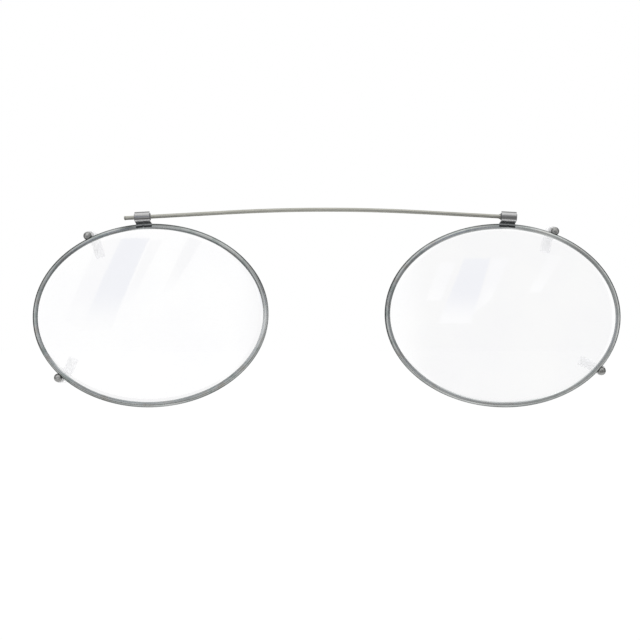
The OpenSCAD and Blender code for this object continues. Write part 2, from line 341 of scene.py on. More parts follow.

# %% [markdown]
# ## Turned and plated tube, for the barrels
# The barrels are cut from drawn tube and rhodium plated. The plate is smooth and neutral. The
# attribute down runs from 0 at the tube's top to 1 at the foot's lower edge, and a ramp on it
# paints light and shade: painted reflections in bands on the tube, a painted highlight on the ledge
# under it, painted shade in the neck and on the foot, and a painted highlight on the foot's swell.
# A ramp is enough here, because every band runs the whole length of the drawn profile.

# %% Barrel metal
def plated_barrel(tree):
    down = add_node(tree, "ShaderNodeAttribute", attribute_name="down").outputs["Fac"]
    # Painted reflections: the tube's dark top line, its lighter flank and its darker underside
    stops = [(0.05, "7c7c7c"), (0.12, "b2b2b2"), (0.3, "a6a6a6"), (0.38, "8c8c8c"), (0.5, "989898")]
    # A painted highlight on the ledge under it, painted shade in the neck, a painted highlight on
    # the foot's swell and painted shade at its lower edge
    stops += [(0.555, "f6f6f6"), (0.645, "f6f6f6"), (0.675, "4c4e4e"), (0.755, "404242")]
    stops += [(0.82, "a6a8a8"), (0.92, "2c2e2e"), (1.0, "484a4a")]
    painted_light_bands = add_node(tree, "ShaderNodeValToRGB", Fac=down, stops=stops)
    stops = [(0.3, "dcdcdc"), (0.7, "ffffff")]
    fine = add_node(tree, "ShaderNodeValToRGB", Fac=grain(tree, 0.08, (6, 1, 1)), stops=stops)
    mix = {"data_type": "RGBA", "blend_type": "MULTIPLY", "Factor_Float": 0.7}
    tone = add_node(tree, "ShaderNodeMix", A_Color=painted_light_bands, B_Color=fine, **mix)
    # The buff doesn't reach the tube's underside, so it is matt from half way down
    matt = {"From_Min": 0.47, "From_Max": 0.56, "To_Max": 0.4}
    under = add_node(tree, "ShaderNodeMapRange", Value=down, **matt)
    buffed = add_node(tree, "ShaderNodeMapRange", Value=grain(tree, 0.4), To_Min=0.12, To_Max=0.18)
    rough = add_node(tree, "ShaderNodeMath", operation="ADD", Value=buffed, Value_001=under)
    return tone, rough, grain(tree, 0.06, (8, 1, 1))


keep_finish("barrel_metal", "rhodium_plated_barrel", plated_barrel, 0.001, Metallic=1.0)

# %% [markdown]
# ## Brazed wire, for the claws
# A claw is plated wire with a bead of silver braze where it meets the rim. The bead's skin is
# slightly rippled and carries dark flux in its creases.

# %% Claw metal
def brazed_wire(tree):
    ripples = grain(tree, 0.45, detail=4.0)
    stops = [(0.32, "7c7c7a"), (0.5, "a0a09e"), (0.68, "b8b8b6")]
    tone = add_node(tree, "ShaderNodeValToRGB", Fac=ripples, stops=stops)
    rough = add_node(tree, "ShaderNodeMapRange", Value=ripples, To_Min=0.38, To_Max=0.5)
    return tone, rough, ripples


keep_finish("claw_metal", "plated_wire_with_silver_braze", brazed_wire, 0.02, Metallic=1.0)

# %% [markdown]
# ## Soft vinyl tube, for the sleeves
# The sleeves are extruded soft PVC, which turns milky with age: light scatters in it, so neither
# the wire inside nor a sharp highlight shows. Real scattering inside the wall would give this
# too, but a tube 2 mm across then comes out grainy. A tone just under white, a matt surface and
# little mirror strength look the same and stay even. Slow noise clouds the tone a little.

# %% Sleeve plastic
VINYL = {"IOR": 1.53, "Specular_IOR_Level": 0.12}


def milky_vinyl(tree):
    stops = [(0.3, "f3f3f4"), (0.7, "f8f8f9")]
    cloud = add_node(tree, "ShaderNodeValToRGB", Fac=grain(tree, 1.2), stops=stops)
    rough = add_node(tree, "ShaderNodeMapRange", Value=grain(tree, 0.4), To_Min=0.6, To_Max=0.7)
    return cloud, rough, grain(tree, 0.6)


keep_finish("sleeve_plastic", "extruded_milky_vinyl", milky_vinyl, 0.0015, **VINYL)

# %% [markdown]
# ## Optical plastic, for the lenses
# The lenses are cast clear plastic with polished faces and a clear hard coat. They are almost
# invisible on a white ground: what shows is the faint mirror image of whatever stands before
# them, which the coat makes a little stronger. Very weak waves, a centimetre or two long, are all
# that tells plastic from glass.

# %% Lens plastic
CAST_RESIN = {"IOR": 1.585, "Transmission_Weight": 1.0}
HARD_COAT = {"Coat_Weight": 1.0, "Coat_IOR": 1.6, "Coat_Roughness": 0.08}


def optical_plastic(tree):
    stops = [(0.3, "fdfdfe"), (0.7, "ffffff")]
    tint = add_node(tree, "ShaderNodeValToRGB", Fac=grain(tree, 12.0), stops=stops)
    rough = add_node(tree, "ShaderNodeMapRange", Value=grain(tree, 6.0), To_Min=0.02, To_Max=0.04)
    return tint, rough, grain(tree, 18.0, detail=0.0)


keep_finish(
    "lens_plastic", "cast_optical_plastic", optical_plastic, 0.0015, **CAST_RESIN, **HARD_COAT
)

# %% [markdown]
# ## Nylon, for the liners
# The liners inside the barrels are extruded nylon, dyed black and greyed by wear. Only their ends
# show, as dark rings.

# %% Liner plastic
def worn_nylon(tree):
    stops = [(0.3, "58585a"), (0.7, "6c6c6e")]
    tone = add_node(tree, "ShaderNodeValToRGB", Fac=grain(tree, 0.2), stops=stops)
    rough = add_node(tree, "ShaderNodeMapRange", Value=grain(tree, 0.1), To_Min=0.45, To_Max=0.6)
    return tone, rough, grain(tree, 0.05)


keep_finish("liner_plastic", "extruded_worn_nylon", worn_nylon, 0.002)

# %% [markdown]
# ## Painted light and shade round the rims
# Some stretches of a rim are painted lighter and others darker, as painted highlights and painted
# shade. These are written as places round each rim, with soft ends, from how the real rims look.
# The outer edge is also darker beside each barrel.

# %% Painted rim light and shade, and the darkening beside the barrels
# The outer edge is darker from the barrel's foot towards the nose. The darkening starts at the
# first of these shares of the rim's width and is full at the second
DARKENING_START = 0.44
DARKENING_FULL = 0.84
DARKENING_MIDDLE = -1.5
DARKENING_REACH = 9.0
DARKENING_SHARE = 0.8
# Stretches with painted highlights or painted shade: middle and half width in degrees round the
# rim, from the temple over the top, then how much lighter the inner edge, crown and outer edge are
PAINTED_RIM_STRETCHES = {
    "left": (
        (20, 9, (0.0, -0.25, -0.2)),
        (38, 9, (0.2, -0.12, -0.15)),
        (60, 10, (0.45, -0.05, -0.2)),
        (81, 5, (0.3, -0.6, -1.3)),
        (86, 5, (0.8, 0, 0)),
        (185, 14, (0.2, 0.4, 0.7)),
        (202, 18, (0.9, 0, 0)),
        (232, 9, (-0.15, -0.12, 0.0)),
        (262, 8, (0.0, 0.1, 0.3)),
        (308, 9, (-0.1, -0.15, -0.05)),
        (324, 9, (0.7, 0, 0)),
    ),
    "right": (
        (68, 9, (0.6, 0.1, 0.1)),
        (87, 5, (0.8, 0, 0)),
        (115, 14, (0.3, 0.1, -0.15)),
        (142, 9, (0.0, -0.1, -0.25)),
        (180, 48, (0.05, -0.24, -0.03)),
        (252, 14, (0.4, 0.15, 0.05)),
        (300, 14, (0.9, 0, 0)),
        (350, 16, (0.1, 0.1, 0.35)),
    ),
}
# A painted sheen makes the right rim lighter all the way round
ALL_ROUND = {"left": (0.0, 0.0, 0.0), "right": (0.1, 0.25, 0.03)}


def painted_rim_light(name, angle, share):
    """How much lighter (above 0) or darker (below 0) the rim is at this angle and width share."""
    inner, crown, outer = ALL_ROUND[name]
    for middle, half_width, (at_inner, at_crown, at_outer) in PAINTED_RIM_STRETCHES[name]:
        away = (math.degrees(angle) - middle + 180) % 360 - 180
        fade = math.exp(-((away / half_width) ** 2))
        inner += fade * at_inner
        crown += fade * at_crown
        outer += fade * at_outer
    edge = inner if share < 0.5 else outer
    return crown + (edge - crown) * min(1.0, abs(2 * share - 1))


def darkening_beside_barrel(point, share):
    """How dark the rim is beside the barrel at this point of the oval and share of its width."""
    if point.y <= 0:
        return 0.0
    near_foot = max(0.0, 1 - abs(point.x - DARKENING_MIDDLE) / DARKENING_REACH)
    near_edge = (share - DARKENING_START) / (DARKENING_FULL - DARKENING_START)
    return DARKENING_SHARE * near_foot * min(1.0, max(0.0, near_edge))


# The number of painted stretches of light and shade on each rim
print("buffed stretches", {name: len(stretches) for name, stretches in PAINTED_RIM_STRETCHES.items()})

# %% [markdown]
# ## The rims
# A rim's section is a strip with round edges, 1.25 mm across and 1.7 mm deep, with a groove in its
# inner side for the lens. The section is spun once round an axis to make a plain ring, and each
# ring of points is then laid on the oval. Spinning first gives clean, evenly spaced rings, and it
# is the same way that a maker winds rim wire round a former. On the way each point is given the
# attributes that the rim's material reads.

# %% Rim section and sweep
RIM_STEPS = 240
ARC_STEPS = 14
RING_RADIUS = 30.0
RIM_ROUND = RIM_W / 2
RIM_FLAT = RIM_D / 2 - RIM_ROUND
GROOVE_W = LENS_T + 2 * LENS_CLEAR
# Lines left by the drawing die: how fast they change along the rim, and their width
LINE_TURNS = 2.2
LINE_W = 0.28


def rim_section():
    """(distance outside the opening, depth) of the rim's section, open where the groove is cut."""
    start = math.pi - math.asin((GROOVE_W / 2 - RIM_FLAT) / RIM_ROUND)
    turns = [start * i / ARC_STEPS for i in range(ARC_STEPS + 1)]
    back = [(RIM_ROUND * (1 + math.cos(a)), RIM_FLAT + RIM_ROUND * math.sin(a)) for a in turns]
    front = [(across, -depth) for across, depth in reversed(back)]
    groove = [(GROOVE_D, GROOVE_W / 2), (GROOVE_D, -GROOVE_W / 2)]
    return front + back + groove


def spin_ring(bm, outline, steps, closed=True):
    """Spins an outline of (radius, depth) points all the way round the Y axis."""
    verts = [bm.verts.new((radius, depth, 0)) for radius, depth in outline]
    pairs = list(zip(verts, verts[1:] + verts[:1])) if closed else list(zip(verts, verts[1:]))
    geom = verts + [bm.edges.new(pair) for pair in pairs]
    turn = {"cent": (0, 0, 0), "axis": (0, -1, 0), "angle": 2 * math.pi}
    bmesh.ops.spin(bm, geom=geom, steps=steps, use_merge=True, **turn)


def make_rim(name, side):
    bm = bmesh.new()
    spin_ring(bm, [(RING_RADIUS + out, depth) for out, depth in rim_section()], RIM_STEPS)
    across = bm.verts.layers.float.new("across")
    winding = bm.verts.layers.float_vector.new("winding")
    light = bm.verts.layers.float.new("light")
    dark = bm.verts.layers.float.new("dark")
    for vert in bm.verts:
        angle = math.atan2(vert.co.z, vert.co.x)
        outside = math.hypot(vert.co.x, vert.co.z) - RING_RADIUS
        round_rim = [LINE_TURNS * math.cos(angle), LINE_TURNS * math.sin(angle)]
        share = outside / RIM_W
        point = oval_point(angle, outside)
        lighter = painted_rim_light(name, angle, share)
        vert[across] = share
        vert[winding] = (*round_rim, outside / LINE_W)
        # Painted highlights go to light. Painted shade and the darkening beside the barrel go to
        # dark
        vert[light] = max(lighter, 0.0)
        vert[dark] = max(darkening_beside_barrel(point, share), -lighter)
        vert.co = (point.x, rim_back(angle) + vert.co.y, point.y)
    place = unit_matrix(side)
    finish_piece(f"{name}_rim", bm, place, UNITS[side], [f"{name}_eyewire"], "rim_metal")


for name, side in SIDES.items():
    make_rim(name, side)

# %% [markdown]
# ## The lenses
# A lens is a thin shell between two spheres, cut to the oval, with a small bevel on each edge. Its
# half outline is spun into a disc of rings, and each ring is then stretched to the oval while its
# depth is read from the sphere. That gives both faces their true curve, which is what bends the
# reflections, and a pole that is closed in the middle. A renderer would give clear plastic a full
# dark shadow, so the lenses are left out of the shadow rays and the rays that carry soft light.

# %% Lens shell
LENS_RINGS = 20
LENS_STEPS = 144
LENS_BEVEL = 0.12
SHELL_CENTRE = LENS_FRONT + LENS_RADIUS


def face_depth(distance, out):
    """Depth of the lens's front (out +1) or back (out -1) face at a distance from the middle."""
    return SHELL_CENTRE - math.sqrt((LENS_RADIUS + out * LENS_T / 2) ** 2 - distance**2)


def make_lens(name, side):
    bm = bmesh.new()
    # A depth of -1 or 1 only tells the front and back face apart, until each gets its own
    radii = [RING_RADIUS * i / LENS_RINGS for i in range(LENS_RINGS + 1)]
    outline = [(radius, -1) for radius in radii] + [(radius, 1) for radius in reversed(radii)]
    spin_ring(bm, outline, LENS_STEPS, closed=False)
    bmesh.ops.remove_doubles(bm, verts=bm.verts, dist=DOUBLES)
    for vert in bm.verts:
        angle = math.atan2(vert.co.z, vert.co.x)
        share = math.hypot(vert.co.x, vert.co.z) / RING_RADIUS
        point = share * oval_point(angle, LENS_BITE)
        out = -1 if vert.co.y > 0 else 1
        vert.co = (point.x, face_depth(point.length, out), point.y)
    bmesh.ops.recalc_face_normals(bm, faces=bm.faces)
    # The two sharpest rings are the front and back edges of the lens
    rim_edges = sorted(bm.edges, key=lambda e: -e.calc_face_angle(0))[: 2 * LENS_STEPS]
    bmesh.ops.bevel(
        bm, geom=rim_edges, offset=LENS_BEVEL, segments=2, profile=0.5, affect="EDGES", material=-1
    )
    nodes = [f"{name}_lens"]
    place = unit_matrix(side)
    lens = finish_piece(f"{name}_clear_lens", bm, place, UNITS[side], nodes, "lens_plastic")
    lens.visible_diffuse = False
    lens.visible_shadow = False


for name, side in SIDES.items():
    make_lens(name, side)

# %% [markdown]
# ## The bar
# The bar is one wire. Its section is a circle that is spun through the bow, and the two end rings
# are then extruded straight on, as the wire runs straight where the barrels slide. The free left
# end is slightly swollen by the cutter that sheared it. Two stake marks beside the right barrel
# are small bumps struck into the wire.

# %% Wire bar
BAR_SIDES = 32
BOW_STEPS = 72
LEFT_REACH = 40.5
RIGHT_REACH = 38.05
TIP_BEVEL = 0.1
BURR = 0.03
BURR_LENGTH = 0.24
# How far each barrel's middle is from the middle of the part
BARREL_PLACES = {"left": 36.85, "right": 36.4}
BARREL_LEN = 3.0
LINER_OUT = 0.12
STAKE_R = 0.21
STAKE_OUT = 0.12
STAKE_SIDES = 16
STAKE_RINGS = 10


def extrude_ring(bm, ring, offset, scale=1.0):
    """Extrudes a closed ring of edges by an offset, scales it about its middle and returns it."""
    made = bmesh.ops.extrude_edge_only(bm, edges=ring)["geom"]
    verts = [g for g in made if isinstance(g, bmesh.types.BMVert)]
    edges = [g for g in made if isinstance(g, bmesh.types.BMEdge)]
    ring_edges = [e for e in edges if all(v in set(verts) for v in e.verts)]
    bmesh.ops.translate(bm, verts=verts, vec=offset)
    middle = sum((v.co for v in verts), Vector()) / len(verts)
    bmesh.ops.scale(bm, verts=verts, vec=(scale,) * 3, space=Matrix.Translation(-middle))
    return ring_edges


def extrude_end(bm, ring, direction, length, sheared):
    """Runs the wire straight on from the bow, swells it where sheared, and bevels its tip."""
    ring = extrude_ring(bm, ring, direction * BAR_R, BAR_END_R / BAR_R)
    straight = length - BAR_R - TIP_BEVEL
    radius = BAR_END_R
    if sheared:
        ring = extrude_ring(bm, ring, direction * (straight - BURR_LENGTH))
        ring = extrude_ring(bm, ring, direction * BURR, (radius + BURR) / radius)
        radius += BURR
        straight = BURR_LENGTH - BURR
    ring = extrude_ring(bm, ring, direction * straight)
    ring = extrude_ring(bm, ring, direction * TIP_BEVEL, (radius - TIP_BEVEL) / radius)
    bmesh.ops.edgeloop_fill(bm, edges=ring)


def make_bar():
    bm = bmesh.new()
    start = Matrix.Rotation(-BOW_SLOPE, 4, "Y") @ Matrix.Rotation(math.pi / 2, 4, "Y")
    circle = bmesh.ops.create_circle(bm, segments=BAR_SIDES, radius=BAR_R, cap_ends=False)["verts"]
    bmesh.ops.transform(bm, matrix=start, verts=circle)
    bmesh.ops.translate(bm, verts=circle, vec=(-BOW_HALF, 0, -BOW_DROP))
    first = list(bm.edges)
    centre = (0, 0, -BOW_RADIUS)
    spun = bmesh.ops.spin(
        bm, geom=circle + first, cent=centre, axis=(0, 1, 0), angle=2 * BOW_SLOPE, steps=BOW_STEPS
    )
    last = [g for g in spun["geom_last"] if isinstance(g, bmesh.types.BMEdge)]
    for side, ring, reach in ((LEFT, first, LEFT_REACH), (RIGHT, last, RIGHT_REACH)):
        direction = Vector((side * math.cos(BOW_SLOPE), 0, -math.sin(BOW_SLOPE)))
        length = (reach - BOW_HALF) / math.cos(BOW_SLOPE)
        extrude_end(bm, ring, direction, length, sheared=side == LEFT)
    liner_half = BARREL_LEN / 2 + LINER_OUT
    stake_x = BARREL_PLACES["right"] - liner_half * math.cos(BOW_SLOPE) - STAKE_R
    for up in (-1, 1):
        place = Matrix.Translation((0, 0, up * (BAR_END_R + STAKE_OUT - STAKE_R)))
        bump = {"u_segments": STAKE_SIDES, "v_segments": STAKE_RINGS, "radius": STAKE_R}
        bmesh.ops.create_uvsphere(bm, matrix=bar_matrix(RIGHT, stake_x) @ place, **bump)
    finish_piece("springy_bar", bm, Matrix.Identity(4), "bridge", ["bridge_bar"], "bar_metal")


make_bar()

# %% [markdown]
# ## The barrels' profile
# A barrel is a slice of a drawn profile: a tube with a waisted neck and a foot that straddles the
# rim. Its outline could be cut from blocks, but a drawn profile is all arcs, so it is written as
# arcs: one for the tube, one for the hollow under it and one for the foot's seat on the rim.

# %% Barrel profile
BARREL_R = 1.1
BORE_R = 0.75
NECK_HALF = 0.4
FOOT_RISE = 0.28
FOOT_LAP = 0.7
FOOT_FLARE = 0.35
FOOT_INSET = 0.2
FOOT_WALL = 0.2
FOOT_HALF = RIM_D / 2 + FOOT_WALL
HOLLOW_R = 0.42
NOTCH_W = 0.5
TUBE_STEPS = 40
CORNER_STEPS = 8
RIM_TOP_RADIUS = (EYE_W / 2) ** 2 / (EYE_H / 2) + RIM_W


def rim_top(x):
    """Height of the rim's top edge at this distance from the middle of the part."""
    offset = x - CENTRE_DISTANCE / 2
    crown = RIM_TOP_RADIUS - math.sqrt(RIM_TOP_RADIUS**2 - offset**2)
    return EYE_H / 2 + RIM_W - crown - offset * math.sin(LENS_TILT) - LENS_DROP


def arc(centre, radius, start, end, steps):
    """Points along an arc, from the start angle to the end angle in degrees."""
    turns = [math.radians(start + (end - start) * i / steps) for i in range(steps + 1)]
    return [(centre[0] + radius * math.cos(a), centre[1] + radius * math.sin(a)) for a in turns]


def half_profile(top_to_rim):
    """(depth, height) points of the profile's back half, from the tube's top to the rim's top."""
    junction = math.degrees(math.acos(NECK_HALF / BARREL_R))
    flare_top = FOOT_RISE - top_to_rim
    tube = arc((0, 0), BARREL_R, 90, -junction, TUBE_STEPS)
    hollow = arc((FOOT_HALF, flare_top), HOLLOW_R, 180, 270, CORNER_STEPS)
    bottom = -top_to_rim - FOOT_LAP
    seat_r = RIM_ROUND + BRAZE_GAP
    seat = arc((RIM_FLAT, -top_to_rim - RIM_ROUND), seat_r, 0, 90, CORNER_STEPS)
    lap = [(FOOT_HALF, bottom), (RIM_FLAT + seat_r, bottom)]
    return tube + [(NECK_HALF, flare_top)] + hollow + lap + seat


for name, x in BARREL_PLACES.items():
    print(name, "barrel's axis is", round(bar_height(x) - rim_top(x), 2), "mm above the rim")

# %% [markdown]
# ## The barrels
# The outline is filled round the bore and extruded in short steps. The foot's points are then laid
# on the rim's curve, drawn in at the temple end, flared towards the nose and notched in the
# middle, where the ends of the rim wire meet. An attribute that grows from the tube down to the
# foot carries the painted bands of light and shade. A Bevel modifier rounds the cut ends.

# %% Barrels
BARREL_START = -BARREL_LEN / 2
BARREL_EDGE = 0.035
BARREL_EDGE_ANGLE = math.radians(50)
NOTCH_X = -FOOT_FLARE / 2
NOTCH_CUTS = (NOTCH_X - NOTCH_W / 2, NOTCH_X, NOTCH_X + NOTCH_W / 2)
# More cuts along the barrel, which let its foot bend with the rim
FOOT_CUTS = (-0.95, 0.5, 1.0)


def extrude_profile(outline):
    """A bmesh of the outline, filled round the bore and extruded along X from cut to cut."""
    bm = bmesh.new()
    verts = [bm.verts.new((BARREL_START, y, z)) for y, z in outline]
    for pair in zip(verts, verts[1:] + verts[:1]):
        bm.edges.new(pair)
    turn = Matrix.Translation((BARREL_START, 0, 0)) @ Matrix.Rotation(math.pi / 2, 4, "Y")
    bore = {"segments": 2 * TUBE_STEPS, "radius": BORE_R, "matrix": turn}
    bmesh.ops.create_circle(bm, cap_ends=False, **bore)
    faces = bmesh.ops.triangle_fill(bm, edges=list(bm.edges), use_beauty=True)["geom"]
    faces = [g for g in faces if isinstance(g, bmesh.types.BMFace)]
    at = BARREL_START
    for stop in sorted({BARREL_LEN / 2, *NOTCH_CUTS, *FOOT_CUTS}):
        region = bmesh.ops.extrude_face_region(bm, geom=faces)["geom"]
        moved = [g for g in region if isinstance(g, bmesh.types.BMVert)]
        if at > BARREL_START:
            bmesh.ops.delete(bm, geom=faces, context="FACES_ONLY")
        faces = [g for g in region if isinstance(g, bmesh.types.BMFace)]
        bmesh.ops.translate(bm, verts=moved, vec=(stop - at, 0, 0))
        at = stop
    return bm


def shape_foot(bm, x, top_to_rim):
    """Lays the foot on the rim, and gives each point its share of the way down."""
    down = bm.verts.layers.float.new("down")
    whole = BARREL_R + top_to_rim + FOOT_LAP
    neck_top = -math.sqrt(BARREL_R**2 - NECK_HALF**2)
    for vert in bm.verts:
        depth = (neck_top - vert.co.z) / (neck_top + top_to_rim)
        share = min(max(depth, 0.0), 1.0)
        vert[down] = (BARREL_R - vert.co.z) / whole
        if depth <= TOUCHING:
            continue
        along = vert.co.x
        if abs(vert.co.z + top_to_rim + FOOT_LAP) < TOUCHING:
            vert.co.z += max(0.0, NOTCH_W / 2 - abs(along - NOTCH_X))
        if along > BARREL_LEN / 2 - TOUCHING:
            vert.co.x -= FOOT_INSET
        if along < NOTCH_X:
            vert.co.x -= FOOT_FLARE * share * (NOTCH_X - along) / (NOTCH_X - BARREL_START)
        level = rim_top(x + vert.co.x) - bar_height(x) + vert.co.x * math.sin(BOW_SLOPE)
        vert.co.z += share * (level + top_to_rim)


def make_barrel(name, side, x):
    top_to_rim = bar_height(x) - rim_top(x)
    half = half_profile(top_to_rim)
    bm = extrude_profile(half + [(-y, z) for y, z in reversed(half[1:])])
    shape_foot(bm, x, top_to_rim)
    nodes = [f"{name}_barrel"]
    place = bar_matrix(side, x)
    piece = finish_piece(f"{name}_barrel_tube", bm, place, UNITS[side], nodes, "barrel_metal")
    rounding = piece.modifiers.new("edges", "BEVEL")
    rounding.width = BARREL_EDGE * MM
    rounding.segments = 2
    rounding.limit_method = "ANGLE"
    rounding.angle_limit = BARREL_EDGE_ANGLE


for name, side in SIDES.items():
    make_barrel(name, side, BARREL_PLACES[name])

# %% [markdown]
# ## The claws' hook
# All four claws are one hook in different places: a straight post that runs back from the rim, one
# bend, and a leg that reaches in behind the lens. A wire and its sleeve both follow it. A curve
# with a round bevel could make them, but the bead and the hollow sleeve need rings of their own,
# so here a ring of edges is spun through the bend and extruded along the leg.

# %% Claw places and bend
CLAW_R = 0.45
CLAW_BEND = 1.15
CLAW_GAP = 3.3
SLEEVE_R = 1.0
LEG_BACK = RIM_D / 2 + CLAW_GAP + SLEEVE_R
BEND_STEPS = 10
ROUND_STEPS = 3
# Place round the rim, turn of the tip from square and sideways lean in degrees, then distance
# outside the rim and reach
CLAWS = {
    "upper_left": (59.6, 10, -9, 0.5, 4.7),
    "lower_left": (-38, -18, 8, 0.58, 4.6),
    "upper_right": (65.5, 11, -8, 0.5, 4.3),
    "lower_right": (-32.8, 18, -4, 0.52, 4.3),
}


def claw_matrix(side, place, turn, outside):
    """Puts a claw, drawn with its post along +Y and its leg along +X, on its rim."""
    angle = math.radians(place)
    point = oval_point(angle, RIM_W + outside)
    normal = oval_normal(angle)
    inward = math.atan2(-normal.y, -normal.x) + math.radians(turn)
    at = Matrix.Translation((point.x, rim_back(angle), point.y))
    return unit_matrix(side) @ at @ Matrix.Rotation(-inward, 4, "Y")


def bend_and_reach(bm, ring, radius, reach, rounding):
    """Spins a ring of edges through the claw's bend and along the leg to its rounded end."""
    centre = (CLAW_BEND, LEG_BACK - CLAW_BEND, 0)
    verts = list({v for e in ring for v in e.verts})
    spun = bmesh.ops.spin(
        bm, geom=verts + ring, cent=centre, axis=(0, 0, -1), angle=math.pi / 2, steps=BEND_STEPS
    )
    ring = [g for g in spun["geom_last"] if isinstance(g, bmesh.types.BMEdge)]
    ring = extrude_ring(bm, ring, Vector((reach - CLAW_BEND - rounding, 0, 0)))
    for i in range(1, ROUND_STEPS + 1):
        angle = math.pi / 2 * i / ROUND_STEPS
        before = math.pi / 2 * (i - 1) / ROUND_STEPS
        step = rounding * (math.sin(angle) - math.sin(before))
        now = radius - rounding * (1 - math.cos(angle))
        was = radius - rounding * (1 - math.cos(before))
        ring = extrude_ring(bm, ring, Vector((step, 0, 0)), now / was)
    bmesh.ops.edgeloop_fill(bm, edges=ring)


print("the claws' legs lie", round(LEG_BACK, 2), "mm behind the middle of the rims")

# %% [markdown]
# ## The claws' wires
# A claw's wire starts in a bead of braze on the rim's outer edge. The bead and the straight post
# are one turned shape, spun round the post, and its last ring goes through the bend. The whole
# hook then leans a few degrees along the rim, as claws that are bent by hand do. Noise, moved on
# for each claw, gives the bead the uneven skin of cooled metal. Where the bead would enter the rim
# it is pushed out to the rim's surface, so it hugs the rim's shoulder as molten braze does.

# %% Claw wires
BEAD_R = 0.88
BEAD_STEPS = 20
WIRE_SIDES = 28
WIRE_ROUND = 0.12
WIRE_SHORT = 0.5
SKIN_DEPTH = 0.035
SKIN_SIZE = 0.5


def seat_on_rim(verts, place, turn, outside):
    """Pushes a claw's vertices out of the rim beside it, to its surface."""
    angle = math.radians(place)
    step = math.radians(1)
    along = (oval_point(angle + step, RIM_W) - oval_point(angle - step, RIM_W)).length
    slope = (rim_back(angle + step) - rim_back(angle - step)) / along
    squared = Matrix.Rotation(math.radians(turn), 4, "Y")
    seat_r = RIM_ROUND + BRAZE_GAP
    for vert in verts:
        at = squared.inverted() @ vert.co
        inward = at.x - outside - RIM_ROUND
        back = at.y + slope * at.z
        past_flat = max(abs(back) - RIM_FLAT, 0.0)
        distance = math.hypot(inward, past_flat)
        if distance < seat_r:
            at.x += inward * (seat_r / distance - 1)
            at.y += math.copysign(past_flat * (seat_r / distance - 1), back)
            vert.co = squared @ at


def top_ring(bm, height):
    """The edges of the open ring at this height along Y."""
    open_edges = [e for e in bm.edges if e.is_boundary]
    return [e for e in open_edges if all(abs(v.co.y - height) < TOUCHING for v in e.verts)]


def make_claw_wire(name, side, place, turn, lean, outside, reach):
    bm = bmesh.new()
    shoulder = math.asin(CLAW_R / BEAD_R)
    turns = [math.pi - (math.pi - shoulder) * i / BEAD_STEPS for i in range(BEAD_STEPS + 1)]
    outline = [(BEAD_R * math.sin(a), BEAD_R * math.cos(a)) for a in turns]
    outline += [(CLAW_R, LEG_BACK - CLAW_BEND)]
    spin_ring(bm, outline, WIRE_SIDES, closed=False)
    bmesh.ops.remove_doubles(bm, verts=bm.verts, dist=DOUBLES)
    bead = [v for v in bm.verts if v.co.y < BEAD_R]
    for vert in bead:
        ripple = noise.noise(vert.co / SKIN_SIZE + Vector((place, 0, 0)))
        vert.co += vert.co.normalized() * SKIN_DEPTH * (ripple - 1) / 2
    bend_and_reach(bm, top_ring(bm, LEG_BACK - CLAW_BEND), CLAW_R, reach - WIRE_SHORT, WIRE_ROUND)
    bmesh.ops.transform(bm, matrix=Matrix.Rotation(math.radians(lean), 4, "X"), verts=bm.verts)
    seat_on_rim(bead, place, turn, outside)
    nodes = [f"{name}_claw_wire"]
    matrix = claw_matrix(side, place, turn, outside)
    finish_piece(f"{name}_wire", bm, matrix, UNITS[side], nodes, "claw_metal")


print("bead", 2 * BEAD_R, "mm across on wire of", 2 * CLAW_R, "mm")

# %% [markdown]
# ## The sleeves
# A sleeve is a length of soft tube pushed over the wire. It has an outer and an inner surface that
# follow the same bend, joined by a flat cut ring near the rim, and a closed, rounded end. Each claw
# is then made whole, wire first.

# %% Claw sleeves
SLEEVE_START = 0.4
SLEEVE_CLEAR = 0.02
SLEEVE_SIDES = 64
SLEEVE_ROUND = 0.18


def sleeve_wall(bm, radius, start, reach, rounding):
    """One surface of a sleeve, from its open ring to its closed end. Returns the open ring."""
    turn = Matrix.Translation((0, start, 0)) @ Matrix.Rotation(math.pi / 2, 4, "X")
    circle = {"segments": SLEEVE_SIDES, "radius": radius, "matrix": turn}
    verts = set(bmesh.ops.create_circle(bm, cap_ends=False, **circle)["verts"])
    ring = [e for e in bm.edges if all(v in verts for v in e.verts)]
    last = extrude_ring(bm, ring, Vector((0, LEG_BACK - CLAW_BEND - start, 0)))
    bend_and_reach(bm, last, radius, reach, rounding)
    return ring


def make_sleeve(name, side, place, turn, lean, outside, reach):
    bm = bmesh.new()
    start = RIM_D / 2 + SLEEVE_START
    outer = sleeve_wall(bm, SLEEVE_R, start, reach, SLEEVE_ROUND)
    inner_reach = reach - WIRE_SHORT + SLEEVE_CLEAR
    inner = sleeve_wall(bm, CLAW_R + SLEEVE_CLEAR, start, inner_reach, WIRE_ROUND)
    bmesh.ops.bridge_loops(bm, edges=outer + inner)
    bmesh.ops.transform(bm, matrix=Matrix.Rotation(math.radians(lean), 4, "X"), verts=bm.verts)
    nodes = [f"{name}_claw_sleeve"]
    matrix = claw_matrix(side, place, turn, outside)
    finish_piece(f"{name}_sleeve", bm, matrix, UNITS[side], nodes, "sleeve_plastic")


for name, facts in CLAWS.items():
    side = LEFT if name.endswith("left") else RIGHT
    make_claw_wire(name, side, *facts)
    make_sleeve(name, side, *facts)

# %% [markdown]
# ## The liners
# The liners are plain tubes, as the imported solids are, so those stay and only take their nylon.

# %% Liners
for name in ("left_liner", "right_liner"):
    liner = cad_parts[name]
    liner.data.materials.clear()
    liner.data.materials.append(FINISHES["liner_plastic"])
    print(name, "takes", liner.data.materials[0].name)

# %% [markdown]
# ## Floor
# The photograph is a product shot on white. The floor is white mostly by a glow of its own, which
# only the camera, a mirror finish or a lens sees, and it still takes the soft shadow.

